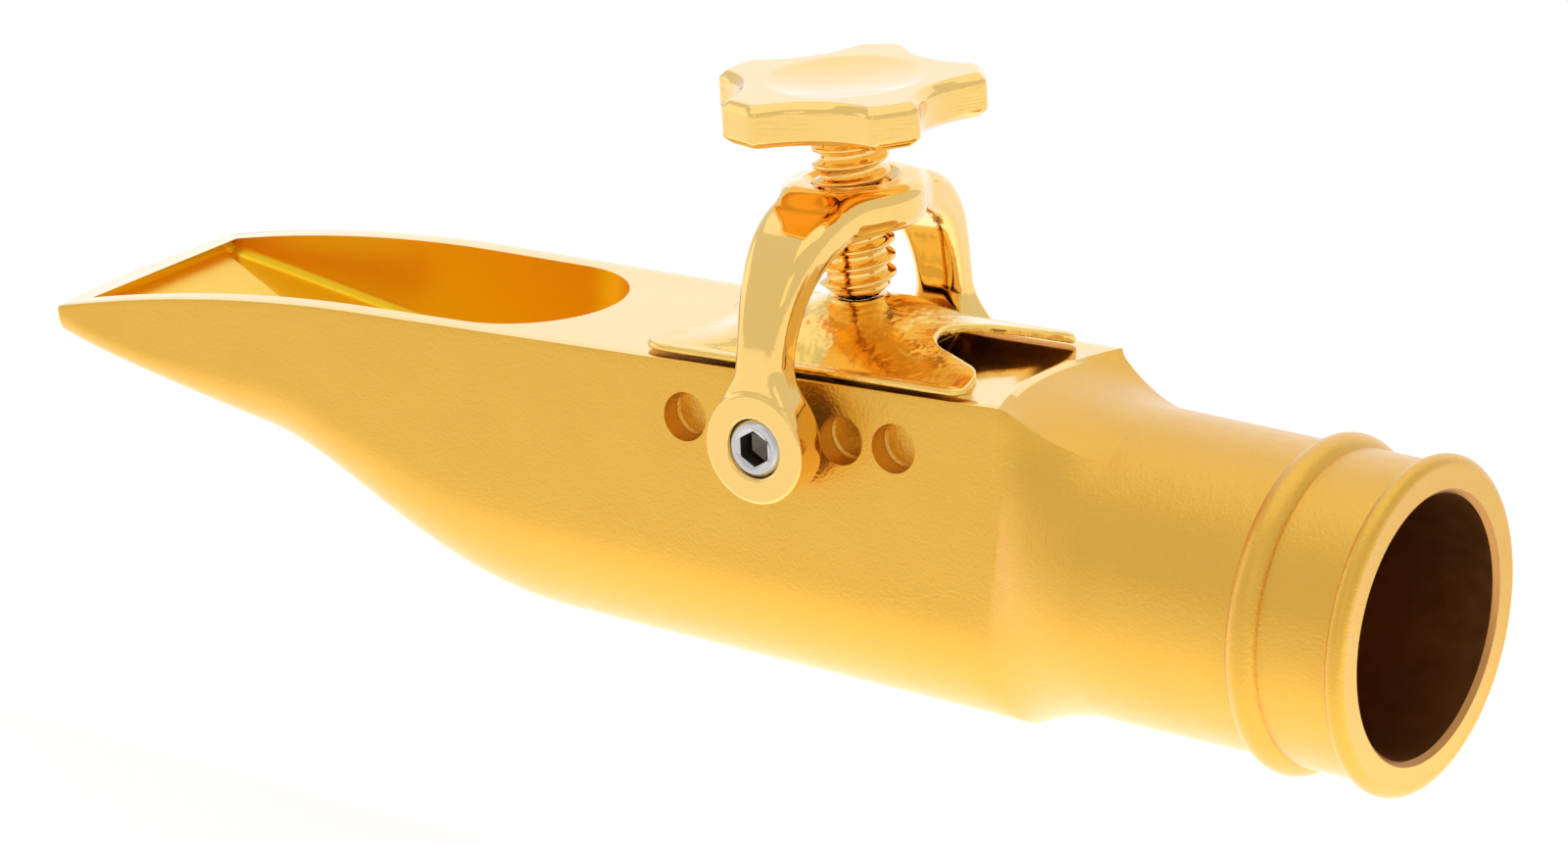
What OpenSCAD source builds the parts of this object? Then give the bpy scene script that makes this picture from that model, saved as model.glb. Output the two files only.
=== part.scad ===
// Saxophone mouthpiece with a pivoting ligature that is built onto it.
// The bore runs along X and opens at x = 0. The tip points to -X and the table faces +Z.
// The ligature is laid out about its pivot axis, with the table level in that frame.

/* [Neck bore and shank] */
// Radius of the bore that the neck cork enters
bore_r = 8; // [7.6:0.05:8.3]
// Depth of the neck bore
bore_depth = 19.5; // [17:0.5:20]
// Width of the chamfer at the mouth of the bore
mouth_chamfer = 0.35; // [0.1:0.05:0.5]
// Outer radius of the round shank
shank_r = 9.5; // [9.2:0.05:10.5]
// Height of the two ring beads above the shank
bead_height = 0.7; // [0.3:0.05:1]
// Half width of the bead at the rim
rim_bead_r = 0.66; // [0.5:0.02:0.9]
// Half width of the second bead
inner_bead_r = 1.15; // [0.8:0.05:1.4]
// Distance of the second bead from the mouth
inner_bead_x = 7.05; // [5:0.05:9]

/* [Table and beak] */
// Distance from the mouth to the tip
body_length = 96.3; // [92:0.1:100]
// Distance from the mouth to the rear edge of the table
table_rear = 25.6; // [25:0.1:27]
// Slope of the table against the bore, in degrees
table_tilt = 2.87; // [2:0.05:3.5]
// Half width of the table at its rear edge
table_half_width = 6.9; // [6.6:0.05:7.3]
// Widening of the half width for each millimetre towards the tip
side_flare = 0.029; // [0.015:0.001:0.035]
// Widening of the half width for each millimetre below the table
side_draft = 0.077; // [0.04:0.001:0.09]
// Length of the curved facing, from the tip
facing_length = 24; // [20:0.5:28]
// Opening between the tip and a flat reed
tip_opening = 2.7; // [2:0.05:3]
// Bow of the tip edge in plan
tip_bow = 1.2; // [0.6:0.1:2]
// Thickness of the beak at the tip
tip_thickness = 1.3; // [1:0.05:1.6]
// Height of the belly below the bore axis at its rear end
belly_depth = 11.1; // [10.8:0.1:11.6]
// Rise of the belly from its rear end to the knee
belly_rise = 0.7; // [0:0.1:1.5]
// Slope of the beak underside against the bore, rise over run
beak_slope = 0.267; // [0.24:0.002:0.29]
// Distance from the mouth to the knee of the belly
knee_x = 58; // [56:0.5:61]
// Length of the blend between the knee and the beak
knee_blend = 22; // [16:0.5:25]

/* [Window and chamber] */
// Width of the side rails beside the window
rail_width = 1.45; // [1.2:0.05:1.8]
// Width of the tip rail
tip_rail = 1.4; // [1:0.1:2]
// Distance from the mouth to the rear end of the window
window_rear = 58.6; // [57:0.2:61]
// Radius of the throat between the window and the bore
throat_r = 6.3; // [5.8:0.1:6.6]
// Depth of the baffle below the tip rail at the tip
baffle_start = 0.15; // [0.1:0.05:0.4]
// Slope of the baffle floor against the bore, fall over run
baffle_slope = 0.112; // [0.09:0.002:0.13]
// Length of the wedge that stands on the baffle behind the tip
wedge_length = 13; // [10:0.5:16]

/* [Pivots] */
// Distance from the mouth to the pivot axis
pivot_x = 40.1; // [39.5:0.1:41]
// Depth of the pivot axis below the table
pivot_depth = 3.37; // [3.1:0.01:3.6]
// Number of pivot holes in each side
pivot_count = 5; // [5:1:5]
// Spacing of the pivot holes
pivot_pitch = 3.71; // [3.6:0.01:3.8]
// Radius of a pivot hole
pivot_hole_r = 1.52; // [1.45:0.01:1.6]
// Depth of a pivot hole in the side of the body
pivot_hole_depth = 1.5; // [1.3:0.05:1.6]

/* [Yoke] */
// Lean of the clamp screw and its crown towards the tip, against the table's normal, in degrees
screw_lean = 1.3; // [0:0.1:1.5]
// Distance of the screw's axis behind the pivot axis, at the pivots' height
screw_offset = 0.45; // [0:0.05:0.6]
// Distance from the middle plane to the outer face of an ear
ear_face = 11.35; // [11.2:0.05:11.6]
// Radius of an ear
ear_r = 3.45; // [3.3:0.05:3.7]
// Thickness of an ear
ear_thickness = 2.3; // [2:0.05:2.5]
// Height of the top of the crown above the pivots
crown_top = 13.95; // [13.5:0.05:14.3]
// Thickness of the crown
crown_thickness = 2.7; // [2.4:0.05:2.9]
// Radius of the boss round the clamp screw
boss_r = 4.5; // [4.2:0.05:4.8]
// Half width of an arm at its slimmest
arm_half_width = 1.5; // [1.3:0.05:1.7]
// Thickness of an arm
arm_thickness = 2.6; // [2.3:0.05:2.8]
// Rounding of the edges of the arms
arm_round = 0.95; // [0.7:0.05:1.1]

/* [Set screws] */
// Outer radius of a set screw
set_screw_r = 1.85; // [1.7:0.01:1.95]
// Distance from the ear face down to the set screw
set_screw_recess = 0.15; // [0.05:0.05:0.4]
// Width of the hexagon socket across its flats
hex_af = 1.9; // [1.8:0.05:2.1]
// Depth of the hexagon socket
hex_depth = 1.3; // [1:0.05:1.5]
// Radial clearance of the screw noses in the pivot holes
pivot_clearance = 0.05; // [0.03:0.01:0.08]
// Gap between a screw nose and the floor of its hole
nose_gap = 0.3; // [0.25:0.05:0.35]

/* [Clamp screw] */
// Major radius of the clamp screw
screw_r = 2.38; // [2.2:0.01:2.45]
// Radial clearance of the clamp screw in the crown
thread_clearance = 0.04; // [0.02:0.01:0.08]
// Radius of the screw's end face, below its taper
end_r = 1.45; // [1.35:0.05:1.5]
// Length of the taper at the end of the thread
taper_length = 0.75; // [0.6:0.05:0.9]
// Radius of the neck that carries the retaining ring
neck_r = 0.8; // [0.76:0.01:0.82]
// Radius of the ball nose
nose_r = 0.95; // [0.92:0.01:0.97]
// Gap between the end of the screw and the top of the plate's hub
end_gap = 0.2; // [0.18:0.01:0.25]
// Depth of the clamp screw in the knob
knob_seat = 2; // [1.5:0.1:2.2]

/* [Thumb knob] */
// Number of lobes
knob_lobes = 5; // [5:1:7]
// Distance from the axis to the flat end of a lobe
knob_r = 8.4; // [7.8:0.1:9]
// Width of the flat end of a lobe
lobe_width = 3.2; // [2.8:0.1:3.6]
// Distance from the axis to the bottom of a hollow between lobes
hollow_r = 6.5; // [6.2:0.1:6.9]
// Thickness of the knob
knob_thickness = 2.8; // [2.6:0.1:3.2]
// Bevel round the edges of the knob
knob_bevel = 0.55; // [0.3:0.05:0.7]
// Height of the knob's underside above the pivots
knob_base = 17.65; // [17.2:0.05:18]
// Radius of the shallow dish in the knob's top
dish_r = 4.9; // [4.4:0.1:5.2]
// Depth of that dish
dish_depth = 0.25; // [0.15:0.05:0.4]

/* [Pressure plate] */
// Gap between the plate and the table at rest
plate_gap = 0.22; // [0.2:0.01:0.5]
// Thickness of the plate at its edge
plate_thickness = 0.6; // [0.5:0.05:0.8]
// Half width of the plate
plate_half_width = 7.0; // [6.8:0.05:7.1]
// Reach of the plate ahead of the screw, towards the tip
plate_front = 11.2; // [10.6:0.1:11.6]
// Reach of the two legs behind the screw
plate_rear = 11.7; // [11.4:0.1:12.2]
// Depth of the hollow in the front edge
front_hollow = 2.2; // [1.6:0.1:2.6]
// Half width of the notch between the legs
notch_half_width = 4.5; // [4.2:0.1:4.8]
// Reach of the plate behind the screw, in the bottom of the notch
notch_floor = 7.0; // [6.6:0.1:7.4]
// Thickness of the plate at its hub, from its underside
hub_height = 2.72; // [2.7:0.01:2.8]
// Radius of the flat on top of the hub
hub_r = 1.95; // [1.9:0.05:2.1]
// Radius at which the hub's cone meets the plate
hub_foot_r = 6.5; // [5.5:0.1:6.6]
// Thickness of the lip that holds the retaining ring down
lip_thickness = 0.34; // [0.32:0.01:0.36]
// Radius of the hole in the lip
lip_r = 1.22; // [1.18:0.01:1.26]
// Clearance of the ball nose in its seat
seat_clearance = 0.05; // [0.03:0.01:0.1]
// Thickness of metal under the ball nose
seat_floor = 0.35; // [0.32:0.01:0.38]

/* [Hidden] */
gold = [0.93, 0.72, 0.33];
polished_gold = [0.96, 0.79, 0.45];
steel = [0.62, 0.63, 0.65];
smooth = 64;
fine = 32;
eps = 0.01;
reach = 60;

// ---- general functions ----
function lerp(a, b, t) = a + (b - a) * t;
function clamp01(t) = min(1, max(0, t));
function ease(t) = let(u = clamp01(t)) u * u * (3 - 2 * u);
function arc(c, r, from, to, n) =
    [for (i = [0:n]) let(a = lerp(from, to, i / n)) [c[0] + r * cos(a), c[1] + r * sin(a)]];

// Closed skin over rings that all hold the same number of points, with a fan over each end
function middle(ring) = [for (i = [0:2]) (min([for (p = ring) p[i]]) + max([for (p = ring) p[i]])) / 2];
module skin(rings) {
    n = len(rings[0]);
    m = len(rings);
    last = (m - 1) * n;
    polyhedron(
        points = concat([for (ring = rings) each ring], [middle(rings[0]), middle(rings[m - 1])]),
        faces = concat(
            [for (j = [0:n - 1]) [m * n, j, (j + 1) % n]],
            [for (j = [0:n - 1]) [m * n + 1, last + (j + 1) % n, last + j]],
            [for (i = [0:m - 2]) for (j = [0:n - 1])
                [i * n + j, (i + 1) * n + j, (i + 1) * n + (j + 1) % n]],
            [for (i = [0:m - 2]) for (j = [0:n - 1])
                [i * n + j, (i + 1) * n + (j + 1) % n, i * n + (j + 1) % n]]
        )
    );
}

// ---- frames ----
// Height of the table plane above the bore axis, at a distance x from the mouth
table_ref = 9.77;
function table_z(x) = table_ref + (pivot_x - x) * tan(table_tilt);
pivot_z = table_ref - pivot_depth * cos(table_tilt) - pivot_depth * sin(table_tilt) * tan(table_tilt);

// The ligature's frame: origin on the pivot axis, x along the table, z square to the table
module at_pivot() {
    translate([-pivot_x, 0, pivot_z]) rotate([0, -table_tilt, 0]) children();
}
// The clamp screw's frame: z along its axis, measured from the height of the pivots
module at_screw() {
    at_pivot() translate([screw_offset, 0, 0]) rotate([0, -screw_lean, 0]) children();
}

// ---- body ----
belly_corner_r = 7.9;
tip_corner_r = 1.2;
table_spare = 0.6;
side_steps = 4;
corner_steps = 7;
top_steps = 5;

function half_width(x, z) =
    table_half_width + side_flare * (x - table_rear) + side_draft * (table_z(x) - z);
function belly_z(x) = let(
    tip_under = table_z(body_length) - tip_opening - tip_thickness,
    beak = tip_under - beak_slope * (body_length - x),
    belly = -belly_depth + belly_rise * (x - table_rear) / (knee_x - table_rear)
) lerp(belly, beak, ease((x - knee_x) / knee_blend));
function corner_r(x) =
    lerp(belly_corner_r, tip_corner_r, ease((x - knee_x) / (body_length - knee_x)));

// Half a cross section at a distance x from the mouth, from the middle of the top
// down the -Y side to the middle of the belly, as [y, z]
function half_section(x) = let(
    top = table_z(x) + table_spare,
    r = corner_r(x),
    low = belly_z(x) + r,
    w = half_width(x, low),
    w_top = half_width(x, top)
) concat(
    [for (i = [0:top_steps - 1]) [-w_top * i / top_steps, top]],
    [for (i = [0:side_steps - 1]) [lerp(-w_top, -w, i / side_steps), lerp(top, low, i / side_steps)]],
    arc([-w + r, low], r, 180, 270, corner_steps),
    [[0, belly_z(x)]]
);
function mirrored(half) = concat(half, [for (i = [len(half) - 2:-1:1]) [-half[i][0], half[i][1]]]);
function section(x) = mirrored(half_section(x));

// Rear edge of the block: it bows towards the tip in the middle of the table
rear_bow = 1.4;
shoulder_end = 17.5;
shoulder_steps = 8;
waist_r = shank_r - 0.12;
function rear_edge(p) = table_rear + (p[1] > table_z(table_rear)
    ? rear_bow * (1 - pow(p[0] / table_half_width, 2)) : 0);
function shoulder_point(p, t) = let(
    fall = 1 - pow(1 - t, 2.4),
    d = norm(p),
    target = [p[0] * waist_r / d, p[1] * waist_r / d],
    q = lerp(p, target, fall)
) [-lerp(rear_edge(p), shoulder_end, t), q[0], q[1]];

block_stations = concat(
    [for (i = [0:6]) body_length - 1.6 * i],
    [for (i = [1:13]) lerp(body_length - 9.6, knee_x, i / 13)],
    [lerp(knee_x, table_rear, 0.5), table_rear + rear_bow + 0.6]
);

module block_form() {
    skin(concat(
        [for (x = block_stations) [for (p = section(x)) [-x, p[0], p[1]]]],
        [for (i = [0:shoulder_steps]) [for (p = section(table_rear)) shoulder_point(p, i / shoulder_steps)]]
    ));
}

// Everything above the table and the curved facing
module above_table() {
    facing_r = (pow(facing_length, 2) + pow(tip_opening, 2)) / (2 * tip_opening);
    start_x = -(body_length - facing_length - pivot_x) / cos(table_tilt);
    at_pivot() {
        translate([start_x, -reach / 2, pivot_depth])
            cube([reach + body_length, reach, reach]);
        difference() {
            translate([start_x - reach, -reach / 2, pivot_depth - 2 * tip_opening])
                cube([reach + eps, reach, reach]);
            translate([start_x, 0, pivot_depth - facing_r]) rotate([90, 0, 0])
                cylinder(r = facing_r, h = 2 * reach, center = true, $fn = 720);
        }
    }
}

module tip_plan() {
    w = half_width(body_length, table_z(body_length));
    bow_r = (w * w + tip_bow * tip_bow) / (2 * tip_bow);
    translate([-body_length + bow_r, 0, -reach / 2]) cylinder(r = bow_r, h = reach, $fn = 180);
    translate([-body_length + tip_bow + 6, -reach / 2, -reach / 2])
        cube([body_length + reach, reach, reach]);
}

module shank_form() {
    band_r = shank_r + 0.12;
    rotate([0, -90, 0]) rotate_extrude($fn = 128) {
        translate([0, rim_bead_r]) square([band_r, inner_bead_x - rim_bead_r]);
        translate([0, 0]) square([band_r - 0.05, inner_bead_x]);
        translate([0, inner_bead_x - eps]) square([shank_r, shoulder_end + 2 - inner_bead_x]);
        translate([band_r, rim_bead_r]) circle(r = rim_bead_r, $fn = fine);
        translate([band_r + bead_height - inner_bead_r, inner_bead_x])
            circle(r = inner_bead_r, $fn = fine);
    }
}

module pivot_holes() {
    at_pivot() for (side = [-1, 1]) for (i = [0:pivot_count - 1]) {
        x = (i - (pivot_count - 1) / 2) * pivot_pitch;
        translate([x, side * (side_face(x) - pivot_hole_depth), 0]) rotate([-90 * side, 0, 0])
            cylinder(r = pivot_hole_r, h = reach, $fn = 48);
    }
}
// Distance from the middle plane to the body's side, at the pivots
function side_face(x) =
    half_width(pivot_x - x * cos(table_tilt), table_z(pivot_x - x * cos(table_tilt)) - pivot_depth);

// Plan of the window, seen from above the table
function window_half(x) = half_width(x, table_z(x)) - rail_width;
module window_plan() {
    rear = window_half(window_rear + 7);
    front_x = body_length - tip_bow - tip_rail;
    front = window_half(front_x);
    bow_r = (front * front + tip_bow * tip_bow) / (2 * tip_bow);
    polygon(concat(
        [for (i = [0:24]) let(a = 90 - 180 * i / 24)
            [-window_rear - rear + rear * cos(a), rear * sin(a)]],
        [for (i = [0:12]) let(y = lerp(-front, front, i / 12))
            [-front_x - tip_bow + bow_r - sqrt(bow_r * bow_r - y * y), y]]
    ));
}

floor_break = 76;
function floor_z(x) = table_z(body_length) - tip_opening - baffle_start
    - baffle_slope * (body_length - tip_rail - x);
module floor_side() {
    x0 = body_length + 1;
    polygon([
        [-x0, floor_z(x0)], [-floor_break, floor_z(floor_break)],
        [-window_rear + 3, -throat_r + 0.5], [-window_rear + 3, -reach], [-x0, -reach]
    ]);
}
module baffle_wedge() {
    x0 = body_length + 1;
    base = window_half(body_length) + 1;
    apex = body_length - wedge_length;
    intersection() {
        translate([0, 0, -reach / 2]) linear_extrude(reach)
            polygon([[-x0, base], [-x0, -base], [-apex, 0]]);
        rotate([90, 0, 0]) linear_extrude(reach, center = true)
            polygon([[-x0, floor_z(body_length)], [-apex, floor_z(body_length) - 0.1],
                [-apex, -reach], [-x0, -reach]]);
    }
}
module window_cavity() {
    difference() {
        translate([0, 0, -throat_r]) linear_extrude(reach) window_plan();
        rotate([90, 0, 0]) linear_extrude(reach, center = true) floor_side();
        baffle_wedge();
    }
}
module bore_cavity() {
    rotate([0, -90, 0]) {
        translate([0, 0, -1]) cylinder(r = bore_r, h = bore_depth + 1, $fn = smooth);
        translate([0, 0, bore_depth - eps])
            cylinder(r = throat_r, h = window_rear + 4 - bore_depth, $fn = smooth);
        rotate_extrude($fn = smooth)
            polygon([[0, -1], [bore_r + mouth_chamfer + 1, -1], [bore_r, mouth_chamfer], [0, mouth_chamfer]]);
    }
}

module mouthpiece_body() {
    color(gold) difference() {
        union() {
            difference() {
                intersection() {
                    block_form();
                    tip_plan();
                }
                above_table();
            }
            shank_form();
        }
        bore_cavity();
        window_cavity();
        pivot_holes();
    }
}

// ---- yoke ----
ear_inner = ear_face - ear_thickness;
arm_foot_y = ear_face - arm_thickness / 2;
crown_mid = crown_top - crown_thickness / 2;
arch_power = 3.2;
arch_shrink = 1.2;
yoke_steps = 28;
// Middle line of the arch: a rounded arch whose legs lean in slightly towards the crown
function arch_point(a) = let(
    c = cos(a), s = sin(a), k = 2 / arch_power,
    z = crown_mid * pow(abs(s), k)
) [(arm_foot_y - arch_shrink * pow(z / crown_mid, 2)) * pow(abs(c), k) * sign(c), z];
function arch_tangent(a) = let(d = 0.5, p = arch_point(a - d), q = arch_point(a + d))
    (q - p) / norm(q - p);
// Half width of the arch: slim arms that widen to the crown and to the ears
function arch_half_width(z) = arm_half_width
    + (boss_r - 1.1 - arm_half_width) * pow(clamp01((z - 6.5) / (crown_mid - 6.5)), 2.2)
    + (ear_r - 0.5 - arm_half_width) * pow(clamp01(1 - z / 5), 2);
function rounded_ring(a) = let(
    p = arch_point(a),
    t = arch_tangent(a),
    n = [t[1], -t[0]],
    r = arm_round,
    flat = arch_half_width(p[1]) - r,
    rise = lerp(arm_thickness, crown_thickness, p[1] / crown_mid) / 2 - r,
    foot_shift = -screw_offset * (1 - ease(p[1] / crown_mid))
) [for (q = concat(
        arc([flat, rise], r, 0, 90, 3), arc([-flat, rise], r, 90, 180, 3),
        arc([-flat, -rise], r, 180, 270, 3), arc([flat, -rise], r, 270, 360, 3)))
    [foot_shift + q[0], p[0] + n[0] * q[1], p[1] + n[1] * q[1]]];

module arch() {
    skin([for (i = [0:yoke_steps]) rounded_ring(lerp(7, 173, i / yoke_steps))]);
}
ear_bevel = 0.35;
boss_bevel = 0.6;
module ear(side) {
    translate([0, side * ear_inner, 0]) rotate([-90 * side, 0, 0]) rotate_extrude($fn = smooth)
        polygon([[0, 0], [ear_r, 0], [ear_r, ear_thickness - ear_bevel],
            [ear_r - ear_bevel, ear_thickness], [0, ear_thickness]]);
}
module boss() {
    translate([0, 0, crown_top - crown_thickness]) rotate_extrude($fn = smooth)
        polygon([[0, 0], [boss_r - boss_bevel, 0], [boss_r, boss_bevel],
            [boss_r, crown_thickness - boss_bevel], [boss_r - boss_bevel, crown_thickness],
            [0, crown_thickness]]);
}
module yoke() {
    color(polished_gold) difference() {
        union() {
            at_screw() arch();
            at_screw() boss();
            at_pivot() for (side = [-1, 1]) ear(side);
        }
        at_screw() cylinder(r = screw_r + thread_clearance, h = reach, $fn = smooth);
        at_pivot() rotate([90, 0, 0]) cylinder(r = set_screw_r, h = 2 * reach, center = true, $fn = smooth);
    }
}

// ---- set screws: threaded in the ears, with noses in the pivot holes ----
module pivot_screw(side) {
    back = side_face(0) - pivot_hole_depth + nose_gap;
    head = ear_face - set_screw_recess;
    color(steel) at_pivot() rotate([-90 * side, 0, 0]) difference() {
        union() {
            translate([0, 0, back]) cylinder(r = pivot_hole_r - pivot_clearance, h = head - back - 0.5, $fn = 48);
            translate([0, 0, ear_inner]) cylinder(r = set_screw_r, h = head - ear_inner, $fn = smooth);
        }
        translate([0, 0, head - hex_depth])
            cylinder(r = hex_af / sqrt(3), h = hex_depth + 1, $fn = 6);
    }
}
module pivot_screw_near() { pivot_screw(-1); }
module pivot_screw_far() { pivot_screw(1); }

// ---- clamp screw, knob and retaining ring ----
plate_base = pivot_depth + plate_gap;
hub_top = plate_base + hub_height;
nose_centre = plate_base + seat_floor + seat_clearance + nose_r;
seat_x = screw_offset - nose_centre * sin(screw_lean);
ring_thickness = 0.26;
ring_r = 1.65;
ring_lift = 0.7;
ring_play = 0.22;
end_z = hub_top + end_gap;
tang_r = screw_r - 0.4;
module clamp_screw() {
    color(polished_gold) at_screw() {
        translate([0, 0, end_z + taper_length])
            cylinder(r = screw_r, h = knob_base - end_z - taper_length, $fn = smooth);
        translate([0, 0, end_z]) cylinder(r1 = end_r, r2 = screw_r, h = taper_length, $fn = smooth);
        translate([0, 0, knob_base - eps]) cylinder(r = tang_r, h = knob_seat + eps, $fn = smooth);
        translate([0, 0, nose_centre]) cylinder(r = neck_r, h = end_z + eps - nose_centre, $fn = smooth);
        translate([0, 0, nose_centre]) sphere(r = nose_r, $fn = smooth);
    }
}
module retaining_ring() {
    inner = neck_r + seat_clearance;
    color(steel) at_screw() translate([0, 0, nose_centre + ring_lift - ring_thickness / 2])
        rotate_extrude(angle = 320, $fn = smooth)
            translate([inner, 0]) square([ring_r - inner, ring_thickness]);
}

function lobe_edge(grow) = let(
    r = knob_r + grow,
    w = lobe_width / 2 + grow * 0.6,
    step = 360 / knob_lobes,
    mid = hollow_r + grow
) [for (k = [0:knob_lobes - 1]) each let(a = 180 + k * step)
    [for (i = [0:11]) let(
        tip_a = atan2(w, r),
        u = i / 12,
        ang = i == 0 ? -tip_a : tip_a + (step - 2 * tip_a) * (i - 1) / 11,
        rim = norm([r, w]),
        h = i == 0 ? rim : mid + (rim - mid) * pow(abs((i - 6) / 5), 2.2)
    ) [h * cos(a + ang), h * sin(a + ang)]]];
module thumb_knob() {
    color(polished_gold) at_screw() difference() {
        translate([0, 0, knob_base]) skin([
            for (level = [[0, -knob_bevel], [knob_bevel, 0], [knob_thickness - knob_bevel, 0],
                [knob_thickness, -knob_bevel]])
            [for (p = lobe_edge(level[1])) [p[0], p[1], level[0]]]
        ]);
        translate([0, 0, knob_base + knob_thickness - dish_depth]) cylinder(r = dish_r, h = 1, $fn = smooth);
        translate([0, 0, knob_base - 1]) cylinder(r = tang_r, h = knob_seat + 1, $fn = smooth);
    }
}

// ---- pressure plate ----
plate_corner_r = 3;
leg_corner_r = 1.2;
front_cut_r = 4.2;
module plate_plan() {
    difference() {
        hull() for (side = [-1, 1]) {
            translate([-plate_front + plate_corner_r, side * (plate_half_width - plate_corner_r)])
                circle(r = plate_corner_r, $fn = fine);
            translate([plate_rear - leg_corner_r, side * (plate_half_width - leg_corner_r - 0.3)])
                circle(r = leg_corner_r, $fn = fine);
        }
        hull() {
            translate([notch_floor + notch_half_width, 0]) circle(r = notch_half_width, $fn = smooth);
            translate([2 * plate_rear, 0]) circle(r = notch_half_width + 0.3, $fn = smooth);
        }
        translate([-plate_front + front_hollow - front_cut_r, 0]) circle(r = front_cut_r, $fn = smooth);
    }
}
// A low cone that rises from the plate to the flat round the screw
module hub() {
    translate([seat_x, 0, 0]) rotate_extrude($fn = smooth)
        polygon([[0, 0], [hub_foot_r, 0], [hub_foot_r, plate_thickness], [hub_r, hub_height], [0, hub_height]]);
}
module pressure_plate() {
    color(polished_gold) at_pivot() difference() {
        translate([0, 0, plate_base]) {
            linear_extrude(plate_thickness) plate_plan();
            intersection() {
                hub();
                linear_extrude(reach) plate_plan();
            }
        }
        translate([seat_x, 0, nose_centre * cos(screw_lean)]) nose_socket();
    }
}
// Seat for the ball nose, and the groove that the retaining ring turns and tilts in
module nose_socket() {
    seat_r = nose_r + seat_clearance;
    groove_low = ring_lift - ring_thickness / 2 - ring_play;
    groove_high = hub_top - nose_centre - lip_thickness;
    sphere(r = seat_r, $fn = smooth);
    cylinder(r = seat_r, h = groove_high, $fn = smooth);
    translate([0, 0, groove_low]) cylinder(r = ring_r + ring_play, h = groove_high - groove_low, $fn = smooth);
    translate([0, 0, groove_high - eps]) cylinder(r = lip_r, h = reach, $fn = smooth);
}

mouthpiece_body();
yoke();
pivot_screw_near();
pivot_screw_far();
thumb_knob();
clamp_screw();
retaining_ring();
pressure_plate();
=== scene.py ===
import math

import bmesh
import bpy
import numpy as np
from mathutils import Matrix, Vector


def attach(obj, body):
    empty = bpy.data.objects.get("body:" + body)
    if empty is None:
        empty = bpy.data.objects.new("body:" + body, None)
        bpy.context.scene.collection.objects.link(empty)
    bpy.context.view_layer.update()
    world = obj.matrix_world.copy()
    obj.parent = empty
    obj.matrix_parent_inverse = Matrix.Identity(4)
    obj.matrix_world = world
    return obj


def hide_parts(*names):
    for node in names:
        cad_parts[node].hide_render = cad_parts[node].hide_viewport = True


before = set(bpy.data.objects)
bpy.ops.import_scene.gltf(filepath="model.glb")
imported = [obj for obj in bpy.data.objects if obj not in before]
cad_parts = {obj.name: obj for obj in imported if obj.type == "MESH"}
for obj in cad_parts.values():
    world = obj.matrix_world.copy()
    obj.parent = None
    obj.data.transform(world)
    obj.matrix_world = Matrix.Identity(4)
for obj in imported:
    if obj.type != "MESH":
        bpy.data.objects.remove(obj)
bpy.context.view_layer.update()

# Everything below is in mm, in the row frame, until add_mesh turns it into metres.
MM = 0.001

# ---------------------------------------------------------------- neck bore and shank
bore_r = 8.0
bore_depth = 19.5
mouth_chamfer = 0.35
shank_r = 9.5
band_height = 0.12
rim_bead_r = 0.66
bead_height = 0.7
inner_bead_r = 1.15
inner_bead_x = 7.05

# ---------------------------------------------------------------- table and beak
body_length = 96.3
table_rear = 25.6
table_tilt = math.radians(2.87)
# height of the table over the bore's axis, at the pivots
table_ref = 9.77
table_half_width = 6.9
side_flare = 0.029
side_draft = 0.077
facing_length = 24.0
tip_opening = 2.7
tip_bow = 1.2
tip_thickness = 1.3
belly_depth = 11.1
belly_rise = 0.7
belly_corner_r = 7.9
beak_slope = 0.267
beak_corner_r = 1.2
knee_x = 58.0
knee_blend = 22.0
top_edge_r = 0.12
# stretch behind the tip over which its bow in plan dies out
bow_length = 10.0

# ---------------------------------------------------------------- shoulder behind the table
rear_bow = 1.4
# the groove down each side, just behind the block: its depth, where it starts in y and z, and its length
shoulder_groove = 0.2
groove_start_y = 6.2
groove_start_z = -2.0
groove_share = 0.35
shoulder_end = 17.5
shoulder_power = 2.4
shoulder_steps = 24

# ---------------------------------------------------------------- window and chamber
rail_width = 1.45
tip_rail = 1.4
window_rear = 58.6
window_bow_length = 12.0
throat_r = 6.3
baffle_start = 0.15
baffle_slope = 0.112
ramp_front = 76.0
wedge_length = 13.0
floor_fillet = 0.7
window_top = 16.0

# ---------------------------------------------------------------- pivots
pivot_x = 40.1
pivot_depth = 3.37
pivot_pitch = 3.71
pivot_hole_r = 1.52
pivot_hole_depth = 1.5
hole_bevel = 0.15

# ---------------------------------------------------------------- yoke
screw_lean = math.radians(1.3)
screw_offset = 0.45
ear_face = 11.35
ear_r = 3.45
ear_thickness = 2.3
ear_round = 0.22
crown_top = 13.95
crown_thickness = 2.7
crown_half_width = 3.0
# height above the pivots from which the arms widen towards the crown
arm_top = 5.0
boss_r = 4.5
boss_round = 0.95
arm_half_width = 1.75
arm_thickness = 2.6
# the arch is a superellipse of this power, pulled in towards the crown by arch_shrink
arch_power = 3.2
arch_shrink = 0.6
foot_step = 0.12

# ---------------------------------------------------------------- screws
set_screw_r = 1.85
set_screw_recess = 0.02
pin_r = pivot_hole_r - 0.05
hex_af = 1.9
hex_depth = 1.3
nose_gap = 0.3
screw_r = 2.38
thread_clearance = 0.04
thread_pitch = 1.058
thread_depth = 0.52
# shares of half a pitch that the crest and the flank take
crest_share = 0.14
flank_share = 0.62
end_r = 1.45
taper_length = 0.75
end_gap = 0.2
nose_r = 0.95
neck_r = 0.8
knob_seat = 2.0
tang_r = screw_r - 0.4

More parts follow.
